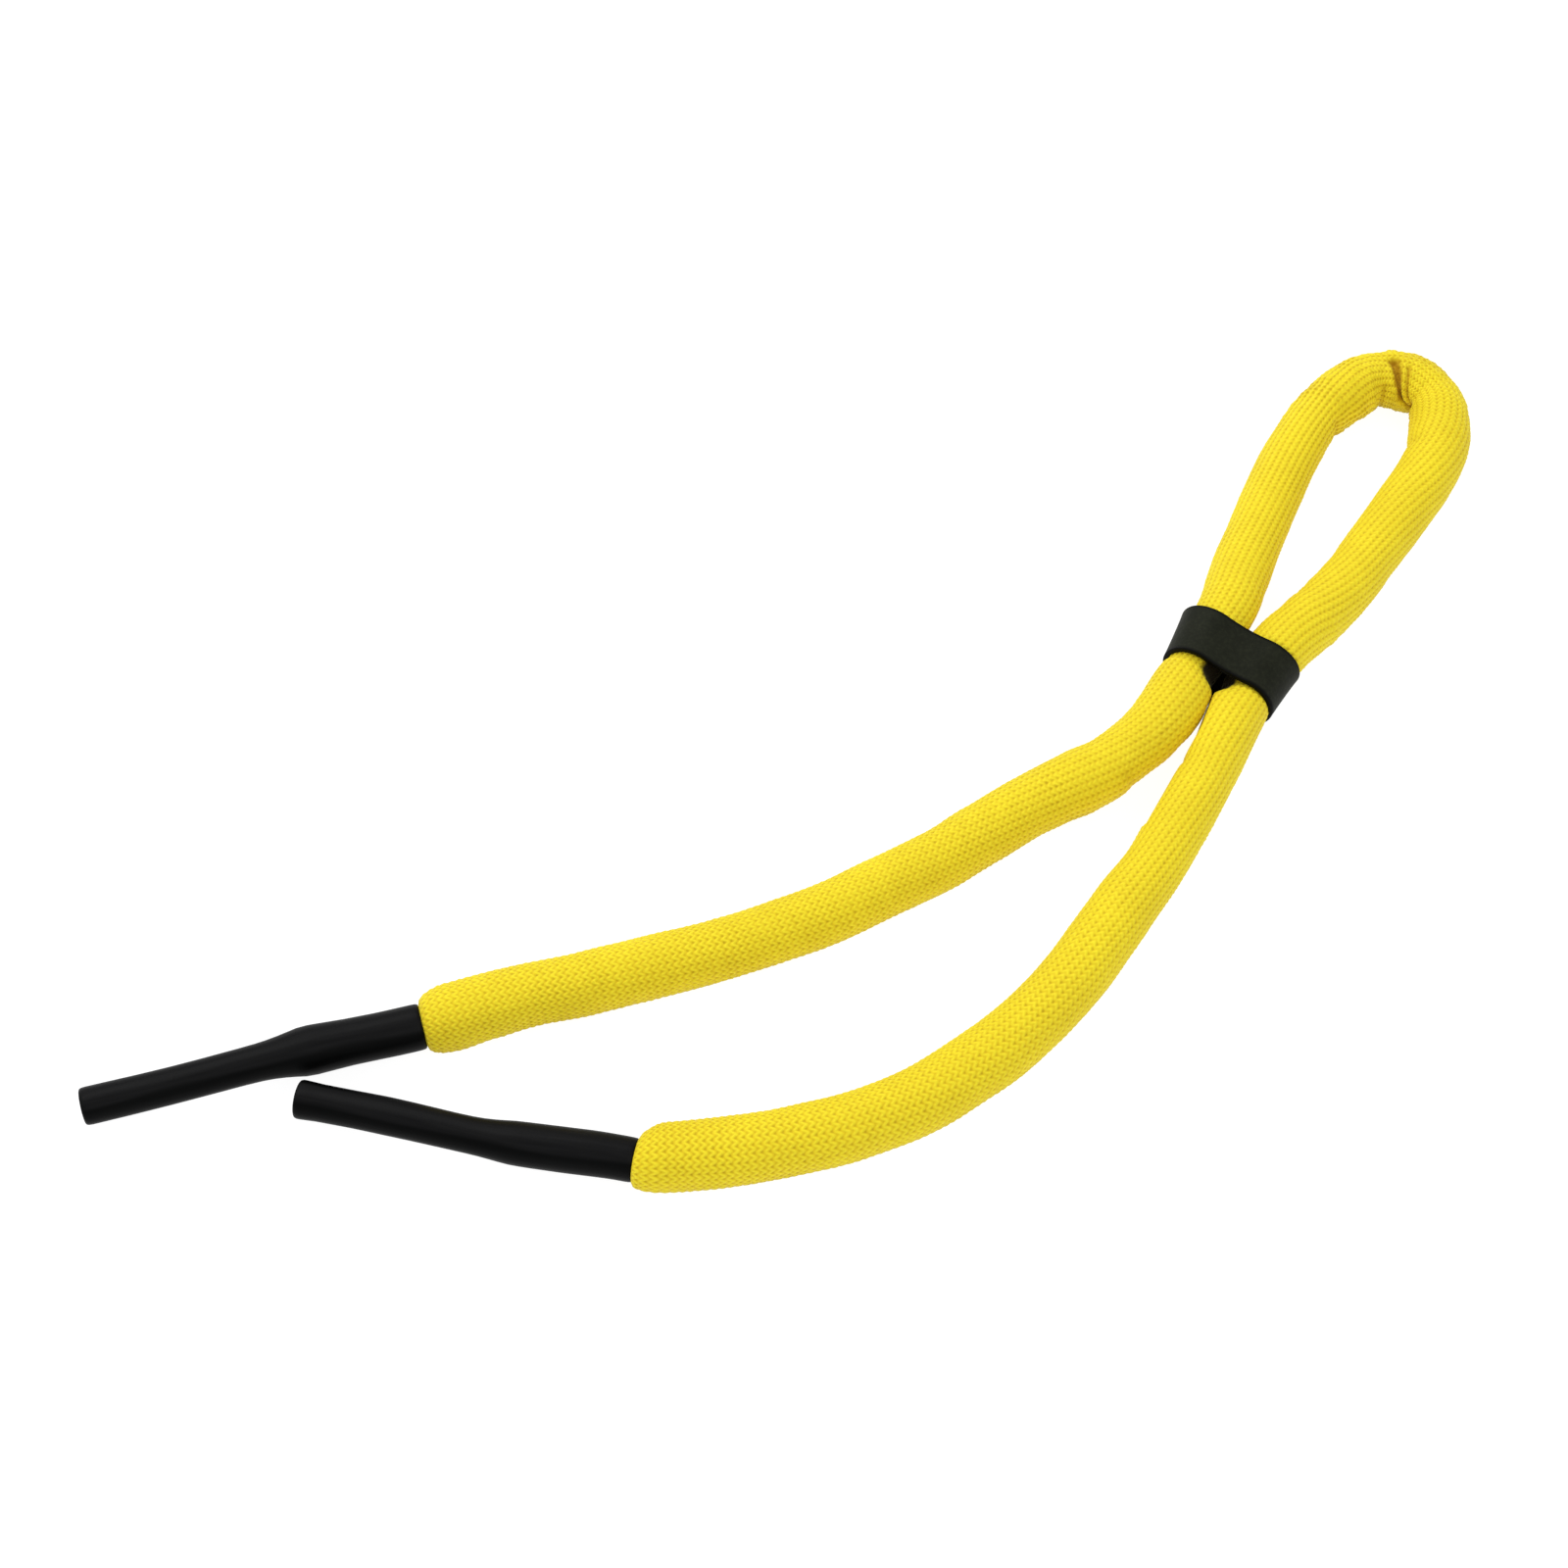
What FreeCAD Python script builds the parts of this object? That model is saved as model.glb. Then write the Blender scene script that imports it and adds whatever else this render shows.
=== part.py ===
"""Floating eyeglass retainer strap: foam cord in a knitted cover, a keeper band and two temple sleeves.

The strap lies on a surface at z = 0 with +Z up. Leg A and leg B run from the temple sleeves at the left to
the keeper band, which holds both legs side by side, and the closed loop beyond it goes round the head.
Millimetres. The cord and its cover are single pieces on the real strap. They are divided here only where
the strap bends, so that its legs and sleeves can move.
"""
import FreeCAD, Part
import math
import os

Vector = FreeCAD.Vector

# Cord: a foam core inside a knitted cover
CORD_RADIUS = 6.0
NECK_RADIUS = 5.4              # where the keeper band squeezes it
KNIT_THICKNESS = 0.7
ARC_SHARE = 0.45               # of the shorter run, taken by the arc at each corner

# Keeper band, a waisted rubber ring round both legs
KEEPER_CENTRE = Vector(75.85, 14.6, 7.5)
KEEPER_HEADING = 61.0          # degrees from +X to the strap's line at the band
KEEPER_ROLL = 8.0              # degrees, leg A's side up
KEEPER_LENGTH = 11.3
KEEPER_WALL = 1.0
KEEPER_CLEARANCE = 0.2
KEEPER_WAIST = 10.0            # degrees of each end circle given to the waist
NECK_SPACING = 11.0            # between the two legs' centres inside the band
NECK_BELOW = 18.0              # straight neck from the band's middle towards the legs
NECK_ABOVE = 12.0              # and towards the loop

# Temple sleeves, rubber tubes stepped from the cord's end to a narrow grip
SLEEVE_LENGTH = 60.0
SLEEVE_WIDE_LENGTH = 24.5
SLEEVE_STEP_LENGTH = 3.5
SLEEVE_WIDE_RADIUS = 4.1
SLEEVE_GRIP_RADIUS = 3.35
SLEEVE_TIP_RADIUS = 3.4
SLEEVE_SOCKET_RADIUS = 3.15
SLEEVE_SOCKET_DEPTH = 21.0
TEMPLE_BORE_RADIUS = 1.9
SLEEVE_RIM = 0.4
SLEEVE_HEADINGS = {"a": 194.9, "b": 168.7}
SLEEVE_TIP_HEIGHTS = {"a": 5.2, "b": 6.0}      # of the tip's centre above the surface

# Gathered ends of the cover, held in the sleeves
DOME_LENGTH = 8.0              # from the sleeve's mouth to the full cord
CORE_END_CENTRE = 6.8
MOUTH_GAP = 0.1                # between the dome and the sleeve's rim
TAIL_RADIUS = 3.1
TAIL_START = 1.0               # clear of the dome where the cord bends into the sleeve
TAIL_LENGTH = 18.0
TAIL_GROOVE_START = 11.0
THREAD_RADIUS = 0.25
THREAD_TURNS = 8


def polar(degrees):
    """Unit vector in the horizontal plane."""
    angle = math.radians(degrees)
    return Vector(math.cos(angle), math.sin(angle), 0)


KEEPER_AXIS = polar(KEEPER_HEADING)
ROLL = math.radians(KEEPER_ROLL)
KEEPER_ACROSS = polar(KEEPER_HEADING - 90) * math.cos(ROLL) - Vector(0, 0, math.sin(ROLL))


def neck_point(side, along):
    """Point on a leg's centre line inside the band: side -1 is leg A, +1 is leg B."""
    return KEEPER_CENTRE + KEEPER_ACROSS * (side * NECK_SPACING / 2) + KEEPER_AXIS * along


# The cord's route, from sleeve A's mouth round the loop to sleeve B's mouth
ROUTE = [
    Vector(-71.8, -61.7, 6.0),
    Vector(-39.7, -52.6, 6.0),
    Vector(-9.2, -43.0, 6.0),
    Vector(15.8, -30.5, 6.0),
    Vector(35.8, -17.0, 6.0),
    Vector(54.3, -5.6, 6.6),
    neck_point(-1, -NECK_BELOW),
    neck_point(-1, NECK_ABOVE),
    Vector(79.8, 36.5, 6.9),
    Vector(87.3, 54.5, 6.0),
    Vector(93.8, 68.5, 6.0),
    Vector(102.6, 81.2, 6.0),
    Vector(109.8, 88.2, 6.0),
    Vector(119.8, 87.5, 6.0),
    Vector(125.6, 79.3, 6.0),
    Vector(122.7, 66.3, 6.0),
    Vector(109.8, 47.5, 6.0),
    Vector(99.9, 31.7, 6.0),
    neck_point(1, NECK_ABOVE),
    neck_point(1, -NECK_BELOW),
    Vector(68.6, -13.2, 6.2),
    Vector(58.3, -30.6, 6.0),
    Vector(45.3, -49.5, 6.0),
    Vector(30.6, -66.6, 6.0),
    Vector(7.4, -80.2, 6.0),
    Vector(-14.6, -86.1, 6.0),
    Vector(-33.6, -87.7, 6.0),
]
LAST = len(ROUTE) - 1
# Runs of the route, numbered by their first point, at whose middles the cord is divided
LEG_A_RUN = 3
BEND_A_RUN = 5
NECK_A_RUN = 7
NECK_B_RUN = 17
BEND_B_RUN = 19
LEG_B_RUN = 21


def unit(vector):
    return vector * (1.0 / vector.Length)


def run_length(run):
    return (ROUTE[run + 1] - ROUTE[run]).Length


def run_middle(run):
    return (ROUTE[run] + ROUTE[run + 1]) * 0.5


def corner(index):
    """Tangent points, middle point, radius and turn of the arc at one route point."""
    before = unit(ROUTE[index - 1] - ROUTE[index])
    after = unit(ROUTE[index + 1] - ROUTE[index])
    tangent = ARC_SHARE * min(run_length(index - 1), run_length(index))
    turn = math.pi - before.getAngle(after)
    radius = tangent / math.tan(turn / 2)
    inward = unit(before + after)
    middle = ROUTE[index] + inward * (radius / math.cos(turn / 2) - radius)
    return ROUTE[index] + before * tangent, middle, ROUTE[index] + after * tangent, radius, turn


def path(start, first, last, end):
    """Wire from start to end, rounding the route's points first to last."""
    edges = []
    here = start
    for index in range(first, last + 1):
        arc_start, arc_middle, arc_end, _, _ = corner(index)
        edges.append(Part.LineSegment(here, arc_start).toShape())
        edges.append(Part.Arc(arc_start, arc_middle, arc_end).toShape())
        here = arc_end
    edges.append(Part.LineSegment(here, end).toShape())
    return Part.Wire(edges)


def tube(wire, radius):
    """Solid round cord along a wire, checked against its section times its length."""
    first = wire.Edges[0]
    start = first.valueAt(first.FirstParameter)
    heading = first.tangentAt(first.FirstParameter)
    ring = Part.Wire(Part.makeCircle(radius, start, heading))
    solid = wire.makePipeShell([ring], True, False)
    ratio = solid.Volume / (math.pi * radius ** 2 * wire.Length)
    print(f"  tube r {radius:.2f} length {wire.Length:.1f} volume ratio {ratio:.4f}")
    return solid


def fused(shapes):
    whole = shapes[0].fuse(shapes[1:]) if len(shapes) > 1 else shapes[0]
    return whole.removeSplitter()


def placed(shape, origin, direction):
    """Move a shape made along +X from the origin so that it runs along a direction from a point."""
    moved = shape.copy()
    moved.Placement = FreeCAD.Placement(origin, FreeCAD.Rotation(Vector(1, 0, 0), direction))
    return moved


def lathe(points):
    """Solid turned about +X from a closed outline of (x, radius) points."""
    outline = Part.makePolygon([Vector(x, 0, radius) for x, radius in points + points[:1]])
    return Part.Face(outline).revolve(Vector(0, 0, 0), Vector(1, 0, 0), 360)


def mouth(side):
    """Mouth point of a sleeve, and the direction from it along the cord."""
    ends = {"a": (ROUTE[0], ROUTE[1]), "b": (ROUTE[LAST], ROUTE[LAST - 1])}
    start, inner = ends[side]
    return start, unit(inner - start)


def cover_and_core(outer, inner):
    """Knitted cover and foam core of one stretch, from its outer and inner solids."""
    return outer.cut(inner), inner


def leg(side):
    """Cover and core of one leg, from its dome to the bend below the keeper band."""
    start, along = mouth(side)
    dome_end = start + along * DOME_LENGTH
    if side == "a":
        wire = path(dome_end, 1, LEG_A_RUN, run_middle(LEG_A_RUN))
    else:
        wire = path(run_middle(LEG_B_RUN), LEG_B_RUN + 1, LAST - 1, dome_end)
    cover, core = cover_and_core(tube(wire, CORD_RADIUS), tube(wire, CORD_RADIUS - KNIT_THICKNESS))
    return cover, fused([core, placed(core_end(), start, along)])


def core_end():
    """Rounded end of the foam core, inside the dome."""
    radius = CORD_RADIUS - KNIT_THICKNESS
    ball = Part.makeSphere(radius, Vector(CORE_END_CENTRE, 0, 0))
    along = Vector(1, 0, 0)
    stub = Part.makeCylinder(radius, DOME_LENGTH - CORE_END_CENTRE, Vector(CORE_END_CENTRE, 0, 0), along)
    keep = Part.makeCylinder(CORD_RADIUS, DOME_LENGTH, Vector(0, 0, 0), along)
    return ball.common(keep).fuse(stub).removeSplitter()


def bend(side):
    """Cover and core of the stretch that flexes as a leg swings."""
    if side == "a":
        wire = path(run_middle(LEG_A_RUN), LEG_A_RUN + 1, BEND_A_RUN, run_middle(BEND_A_RUN))
    else:
        wire = path(run_middle(BEND_B_RUN), BEND_B_RUN + 1, LEG_B_RUN, run_middle(LEG_B_RUN))
    return cover_and_core(tube(wire, CORD_RADIUS), tube(wire, CORD_RADIUS - KNIT_THICKNESS))


def loop():
    """Cover and core from bend to bend: two squeezed necks through the band and the loop between them."""
    neck_a = path(run_middle(BEND_A_RUN), BEND_A_RUN + 1, NECK_A_RUN, run_middle(NECK_A_RUN))
    round_head = path(run_middle(NECK_A_RUN), NECK_A_RUN + 1, NECK_B_RUN, run_middle(NECK_B_RUN))
    neck_b = path(run_middle(NECK_B_RUN), NECK_B_RUN + 1, BEND_B_RUN, run_middle(BEND_B_RUN))
    solids = []
    for thickness in (0.0, KNIT_THICKNESS):
        solids.append(fused([
            tube(neck_a, NECK_RADIUS - thickness),
            tube(round_head, CORD_RADIUS - thickness),
            tube(neck_b, NECK_RADIUS - thickness),
        ]))
    return cover_and_core(*solids)


def dome(side):
    """Gathered end of the cover between the full cord and the sleeve's mouth."""
    start, along = mouth(side)
    rise = CORD_RADIUS - TAIL_RADIUS
    arc_radius = (DOME_LENGTH ** 2 + rise ** 2) / (2 * rise)
    half_angle = math.asin(DOME_LENGTH / arc_radius) / 2
    drop = arc_radius * (1 - math.cos(half_angle))
    shoulder = Vector(DOME_LENGTH - arc_radius * math.sin(half_angle), 0, CORD_RADIUS - drop)
    outer = [
        Part.LineSegment(Vector(0, 0, 0), Vector(0, 0, TAIL_RADIUS)).toShape(),
        Part.Arc(Vector(0, 0, TAIL_RADIUS), shoulder, Vector(DOME_LENGTH, 0, CORD_RADIUS)).toShape(),
        Part.LineSegment(Vector(DOME_LENGTH, 0, CORD_RADIUS), Vector(DOME_LENGTH, 0, 0)).toShape(),
        Part.LineSegment(Vector(DOME_LENGTH, 0, 0), Vector(0, 0, 0)).toShape(),
    ]
    solid = Part.Face(Part.Wire(outer)).revolve(Vector(0, 0, 0), Vector(1, 0, 0), 360)
    gathered = placed(solid.cut(core_end()), start, along)
    into_sleeve = sleeve_direction(side)
    sleeve_space = Part.makeCylinder(CORD_RADIUS, DOME_LENGTH, start - into_sleeve * MOUTH_GAP, into_sleeve)
    return gathered.cut(sleeve_space)


def sleeve_direction(side):
    """From a sleeve's mouth to its tip, drooping a little."""
    start, _ = mouth(side)
    droop = math.asin((start.z - SLEEVE_TIP_HEIGHTS[side]) / SLEEVE_LENGTH)
    return polar(SLEEVE_HEADINGS[side]) * math.cos(droop) - Vector(0, 0, math.sin(droop))


def sleeve(side):
    """Stepped rubber sleeve: a socket for the cover's tail and a round bore for the temple."""
    step_end = SLEEVE_WIDE_LENGTH + SLEEVE_STEP_LENGTH
    outline = [
        (0, SLEEVE_SOCKET_RADIUS),
        (0, SLEEVE_WIDE_RADIUS - SLEEVE_RIM),
        (SLEEVE_RIM, SLEEVE_WIDE_RADIUS),
        (SLEEVE_WIDE_LENGTH, SLEEVE_WIDE_RADIUS),
        (step_end, SLEEVE_GRIP_RADIUS),
        (SLEEVE_LENGTH - SLEEVE_RIM, SLEEVE_TIP_RADIUS),
        (SLEEVE_LENGTH, SLEEVE_TIP_RADIUS - SLEEVE_RIM),
        (SLEEVE_LENGTH, TEMPLE_BORE_RADIUS),
        (SLEEVE_SOCKET_DEPTH, TEMPLE_BORE_RADIUS),
        (SLEEVE_SOCKET_DEPTH, SLEEVE_SOCKET_RADIUS),
    ]
    return placed(lathe(outline), mouth(side)[0], sleeve_direction(side))


def tail(side):
    """End of the cover inside the sleeve, with a groove where thread binds it."""
    groove = TAIL_RADIUS - THREAD_RADIUS * 2
    groove_end = TAIL_GROOVE_START + THREAD_RADIUS * 2 * THREAD_TURNS
    outline = [
        (TAIL_START, 0),
        (TAIL_START, TAIL_RADIUS),
        (TAIL_GROOVE_START, TAIL_RADIUS),
        (TAIL_GROOVE_START, groove),
        (groove_end, groove),
        (groove_end, TAIL_RADIUS),
        (TAIL_LENGTH, TAIL_RADIUS),
        (TAIL_LENGTH, 0),
    ]
    return placed(lathe(outline), mouth(side)[0], sleeve_direction(side))


def binding_thread(side):
    """Turns of thread round the cover's gathered end, lying side by side in its groove."""
    gap = 0.02
    ring_radius = TAIL_RADIUS - THREAD_RADIUS + gap / 2
    turns = []
    for turn in range(THREAD_TURNS):
        x = TAIL_GROOVE_START + THREAD_RADIUS * (2 * turn + 1)
        turns.append(Part.makeTorus(ring_radius, THREAD_RADIUS - gap, Vector(x, 0, 0), Vector(1, 0, 0)))
    return placed(Part.makeCompound(turns), mouth(side)[0], sleeve_direction(side))


def waisted_outline(radius):
    """Closed outline round both legs, drawn in the band's own plane: two end circles and two waists."""
    half = NECK_SPACING / 2
    angle = math.radians(KEEPER_WAIST)
    waist_centre = half / math.tan(angle)
    waist_radius = half / math.sin(angle) - radius
    x = half - radius * math.sin(angle)
    y = radius * math.cos(angle)
    low = waist_centre - waist_radius
    edges = [
        Part.Arc(Vector(x, -y, 0), Vector(half + radius, 0, 0), Vector(x, y, 0)).toShape(),
        Part.Arc(Vector(x, y, 0), Vector(0, low, 0), Vector(-x, y, 0)).toShape(),
        Part.Arc(Vector(-x, y, 0), Vector(-half - radius, 0, 0), Vector(-x, -y, 0)).toShape(),
        Part.Arc(Vector(-x, -y, 0), Vector(0, -low, 0), Vector(x, -y, 0)).toShape(),
    ]
    return Part.Wire(edges)


def keeper_band():
    """Waisted rubber ring that slides along both legs."""
    inner_radius = NECK_RADIUS + KEEPER_CLEARANCE
    outer = Part.Face(waisted_outline(inner_radius + KEEPER_WALL)).extrude(Vector(0, 0, KEEPER_LENGTH))
    inner = Part.Face(waisted_outline(inner_radius)).extrude(Vector(0, 0, KEEPER_LENGTH))
    band = outer.cut(inner)
    up = KEEPER_AXIS.cross(KEEPER_ACROSS)
    rotation = FreeCAD.Rotation(KEEPER_ACROSS, up, KEEPER_AXIS, "ZXY")
    near_rim = KEEPER_CENTRE - KEEPER_AXIS * (KEEPER_LENGTH / 2)
    band.Placement = FreeCAD.Placement(near_rim, rotation)
    return band


def write(name, shape):
    print(f"{name}: {shape.Volume:.1f} mm3, {len(shape.Solids)} solid(s), valid {shape.isValid()}")
    shape.exportStep(f"parts/{name}.step")


def main():
    os.makedirs("parts", exist_ok=True)
    for index in range(1, LAST):
        _, _, _, radius, turn = corner(index)
        print(f"point {index}: turn {math.degrees(turn):.1f} deg, radius {radius:.1f} mm")
    loop_cover, loop_core = loop()
    write("knit_cover_loop", loop_cover)
    write("foam_core_loop", loop_core)
    for side in ("a", "b"):
        bend_cover, bend_core = bend(side)
        leg_cover, leg_core = leg(side)
        write(f"knit_cover_bend_{side}", bend_cover)
        write(f"foam_core_bend_{side}", bend_core)
        write(f"knit_cover_leg_{side}", leg_cover)
        write(f"foam_core_leg_{side}", leg_core)
        write(f"knit_cover_dome_{side}", dome(side))
        write(f"knit_cover_tail_{side}", tail(side))
        write(f"binding_thread_{side}", binding_thread(side))
        write(f"temple_sleeve_{side}", sleeve(side))
    write("keeper_band", keeper_band())


main()
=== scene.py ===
"""Looks of the floating eyeglass retainer strap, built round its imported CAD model.

Lengths are in millimetres in the tables and functions, and metres in the meshes and the frame.
The strap lies on a surface at z = 0. Distances along the cord run from sleeve A's mouth, through the keeper
band, round the head loop and back through the band, to sleeve B's mouth.
"""

import math

import bpy
import numpy as np
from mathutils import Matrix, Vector

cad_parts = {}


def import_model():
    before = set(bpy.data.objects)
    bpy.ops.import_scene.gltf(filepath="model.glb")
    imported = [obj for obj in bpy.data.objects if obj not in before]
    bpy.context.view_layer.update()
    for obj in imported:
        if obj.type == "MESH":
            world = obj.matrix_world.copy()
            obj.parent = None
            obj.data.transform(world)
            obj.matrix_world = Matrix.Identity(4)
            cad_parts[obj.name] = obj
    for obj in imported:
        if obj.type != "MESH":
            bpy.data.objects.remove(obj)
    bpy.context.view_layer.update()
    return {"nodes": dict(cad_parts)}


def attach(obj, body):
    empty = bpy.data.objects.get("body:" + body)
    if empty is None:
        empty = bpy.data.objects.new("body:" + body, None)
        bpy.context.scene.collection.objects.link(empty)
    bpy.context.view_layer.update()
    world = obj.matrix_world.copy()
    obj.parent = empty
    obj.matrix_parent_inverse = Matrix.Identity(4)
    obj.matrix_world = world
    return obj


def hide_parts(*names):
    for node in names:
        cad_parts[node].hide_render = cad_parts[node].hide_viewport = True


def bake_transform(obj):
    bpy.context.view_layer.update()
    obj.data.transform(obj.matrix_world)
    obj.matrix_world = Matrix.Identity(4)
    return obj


MM = 0.001
TURN = 2 * math.pi
SEED = 7

# Camera, at the strap's middle from the front and above
CAMERA_TARGET = (-8.2, -7.0, 0.0)
CAMERA_DISTANCE = 540.0
CAMERA_ELEVATION = 57.0
CAMERA_LENS = 65.9
CAMERA_SENSOR = 36.0

# Keeper band
KEEPER_CENTRE = np.array([76.1, 14.45, 7.46])
KEEPER_HEADING = 61.0
KEEPER_ROLL = 8.0
KEEPER_LENGTH = 11.0
KEEPER_SHIFT = 0.35
KEEPER_INNER = 5.55
KEEPER_WALL = 1.0
KEEPER_WAIST = 10.0
KEEPER_TAPER = 0.045
KEEPER_EDGE = 0.25
# The band sits a little askew and bowed on the legs
KEEPER_SKEW = 0.035
KEEPER_BOW = 0.0015
NECK_SPACING = 11.0
NECK_BELOW = 18.0
NECK_ABOVE = 12.0
# The plane between the pressed legs leans towards leg B below the band
PARTING_LEAN = 0.13
PARTING_START = 7.0
PARTING_REACH = 9.0
PARTING_GAP = 0.06
PARTING_SOFT = 0.35
# Where the legs are pressed flat: below and above the band's middle, and along the cord on each leg
PRESSED_BELOW = 40.0
PRESSED_ABOVE = 26.0
PRESSED_A = (120, 200)
PRESSED_B = (325, 400)


def polar(degrees):
    """Unit vector in the horizontal plane."""
    angle = math.radians(degrees)
    return np.array([math.cos(angle), math.sin(angle), 0.0])


UP = np.array([0.0, 0.0, 1.0])
KEEPER_AXIS = polar(KEEPER_HEADING)
ROLL = math.radians(KEEPER_ROLL)
KEEPER_ACROSS = polar(KEEPER_HEADING - 90) * math.cos(ROLL) - UP * math.sin(ROLL)
KEEPER_UP = np.cross(KEEPER_AXIS, KEEPER_ACROSS)


def neck_point(side, along):
    """Point on a leg's centre line inside the band: side -1 is leg A, +1 is leg B."""
    return tuple(KEEPER_CENTRE + KEEPER_ACROSS * (side * NECK_SPACING / 2) + KEEPER_AXIS * along)


# The cord's route: the control points of its spline
ROUTE = [
    (-71.8, -61.7, 6.0),
    (-39.7, -52.6, 6.0),
    (-9.2, -43.0, 6.0),
    (15.8, -30.5, 6.0),
    (35.8, -17.0, 6.0),
    (54.3, -5.6, 6.6),
    neck_point(-1, -NECK_BELOW),
    neck_point(-1, NECK_ABOVE),
    (79.8, 36.5, 6.9),
    (87.3, 54.5, 6.0),
    (93.8, 68.5, 6.0),
    (102.6, 81.2, 6.0),
    (109.8, 88.2, 6.0),
    (119.8, 87.5, 6.0),
    (125.6, 79.3, 6.0),
    (122.7, 66.3, 6.0),
    (109.8, 47.5, 6.0),
    (99.9, 31.7, 6.0),
    neck_point(1, NECK_ABOVE),
    neck_point(1, -NECK_BELOW),
    (68.6, -13.2, 6.2),
    (58.3, -30.6, 6.0),
    (45.3, -49.5, 6.0),
    (30.6, -66.6, 6.0),
    (7.4, -80.2, 6.0),
    (-14.6, -86.1, 6.0),
    (-33.6, -87.7, 6.0),
]

SETTLED_SOFT = 0.10

# Where the cover is divided into pieces
DOME_A_END = 13.0
SEAM_A = 164.0
SEAM_B = 353.7
DOME_B_LENGTH = 13.0
DOME_LAP = 1.0

# Half widths of the soft cord, to the right and left of its line
HALF_WIDTHS = (
    (0, 5.90, 6.30),
    (5, 5.75, 6.45),
    (12, 5.10, 6.68),
    (20, 4.82, 6.61),
    (30, 5.33, 6.14),
    (40, 5.62, 5.92),
    (55, 5.52, 5.60),
    (75, 5.85, 5.52),
    (86, 5.55, 5.82),
    (98, 5.90, 5.70),
    (108, 5.54, 6.18),
    (118, 5.35, 6.29),
    (124, 5.71, 6.17),
    (130, 6.35, 5.93),
    (136, 6.60, 5.18),
    (142, 5.75, 5.45),
    (148, 6.00, 5.62),
    (152, 6.40, 5.82),
    (156, 6.60, 5.92),
    (159, 6.30, 5.88),
    (161.3, 5.50, 5.70),
    (162.6, 5.05, 5.15),
    (173.0, 5.30, 5.30),
    (174.6, 5.75, 5.25),
    (179, 6.15, 5.45),
    (185, 5.97, 5.67),
    (191, 6.09, 5.61),
    (200, 5.97, 5.60),
    (215, 5.80, 5.68),
    (226, 5.40, 5.80),
    (231, 4.98, 6.00),
    (234, 4.74, 6.05),
    (237, 5.35, 6.05),
    (241, 6.28, 5.72),
    (246, 6.85, 5.26),
    (250, 6.35, 5.30),
    (252, 5.70, 5.48),
    (255, 6.10, 5.88),
    (259, 6.20, 6.12),
    (262, 5.40, 6.07),
    (264, 5.05, 5.87),
    (267, 5.95, 5.72),
    (271, 6.42, 5.68),
    (276, 6.40, 6.08),
    (281, 5.92, 6.08),
    (290, 6.00, 6.08),
    (300, 5.95, 5.95),
    (306, 6.00, 5.68),
    (312, 6.18, 5.36),
    (319, 6.46, 5.38),
    (324, 6.35, 5.56),
    (327, 5.94, 5.98),
    (330, 5.52, 6.54),
    (334, 5.05, 6.73),
    (339, 5.33, 6.53),
    (342.6, 5.45, 6.35),
    (343.9, 5.30, 5.40),
    (354.4, 5.05, 5.15),
    (355.9, 5.55, 5.75),
    (358, 6.10, 5.82),
    (362, 6.35, 5.87),
    (366, 6.10, 5.95),
    (369, 5.50, 6.00),
    (372, 5.15, 5.80),
    (375, 5.69, 5.49),
    (378, 6.12, 5.39),
    (386, 5.98, 5.46),
    (396, 5.60, 5.68),
    (406, 6.23, 5.58),
    (413, 6.25, 5.78),
    (424, 5.85, 6.12),
    (436, 5.97, 6.01),
    (448, 5.92, 6.20),
    (461, 5.33, 6.75),
    (471, 5.51, 6.43),
    (483, 5.93, 6.12),
    (498, 6.05, 6.12),
    (511, 6.05, 5.85),
)

# Knit: wales run along the cord and courses round it
WALES = 26
WALE_STEPS = 4
COURSE_STEPS = 4
COURSES_PER_MM = (
    (0, 0.74),
    (60, 0.75),
    (100, 0.79),
    (130, 0.88),
    (235, 0.90),
    (258, 1.02),
    (285, 0.90),
    (395, 0.86),
    (430, 0.78),
    (512, 0.74),
)
WALE_DRIFT = (
    (0, 0.04),
    (60, 0.06),
    (120, 0.10),
    (190, 0.09),
    (235, 0.0),
    (262, 0.02),
    (285, 0.20),
    (318, 0.15),
    (338, 0.09),
    (375, 0.10),
    (420, 0.05),
    (512, 0.04),
)
RIB_SHARE = (
    (0, 0.14),
    (95, 0.22),
    (125, 0.50),
    (180, 0.60),
    (238, 0.80),
    (252, 0.40),
    (266, 0.35),
    (285, 0.70),
    (345, 0.70),
    (390, 0.60),
    (420, 0.40),
    (460, 0.20),
    (512, 0.14),
)
STITCH_SHARE = (
    (0, 1.0),
    (100, 0.95),
    (130, 0.75),
    (200, 0.65),
    (240, 0.50),
    (262, 0.80),
    (285, 0.65),
    (340, 0.65),
    (400, 0.70),
    (425, 0.85),
    (460, 1.0),
    (512, 1.0),
)
# Relief of the knit, as a share of the legs' relief
RELIEF = (
    (0, 0.95),
    (110, 0.90),
    (150, 0.82),
    (225, 0.80),
    (240, 1.15),
    (254, 1.25),
    (270, 0.90),
    (285, 0.80),
    (360, 0.80),
    (410, 0.88),
    (512, 0.95),
)
# Puckering of the knit where the loop bends most
LOOP_BEND = (
    (0, 0.0),
    (225, 0.0),
    (240, 0.75),
    (250, 1.0),
    (260, 0.9),
    (268, 0.35),
    (280, 0.0),
    (512, 0.0),
)
CHEVRON = 1.75
KNIT_RELIEF = 0.15
KNIT_THICKNESS = 0.7
INNER_STEP = 12
INNER_TURNS = 4
MOUTH_RADIUS = 3.6
DOME_REACH = 6.4
TUCK = 1.0
TUCK_RADIUS = 3.05

# Temple sleeves
SLEEVE_LENGTH = 60.0
SLEEVE_HEADINGS = {"a": 194.9, "b": 168.7}
SLEEVE_TIP_HEIGHTS = {"a": 5.2, "b": 6.0}
SLEEVE_BOW = {"a": 0.55, "b": 0.95}
SLEEVE_BOW_AT = 25.0
SLEEVE_AROUND = 96
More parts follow.
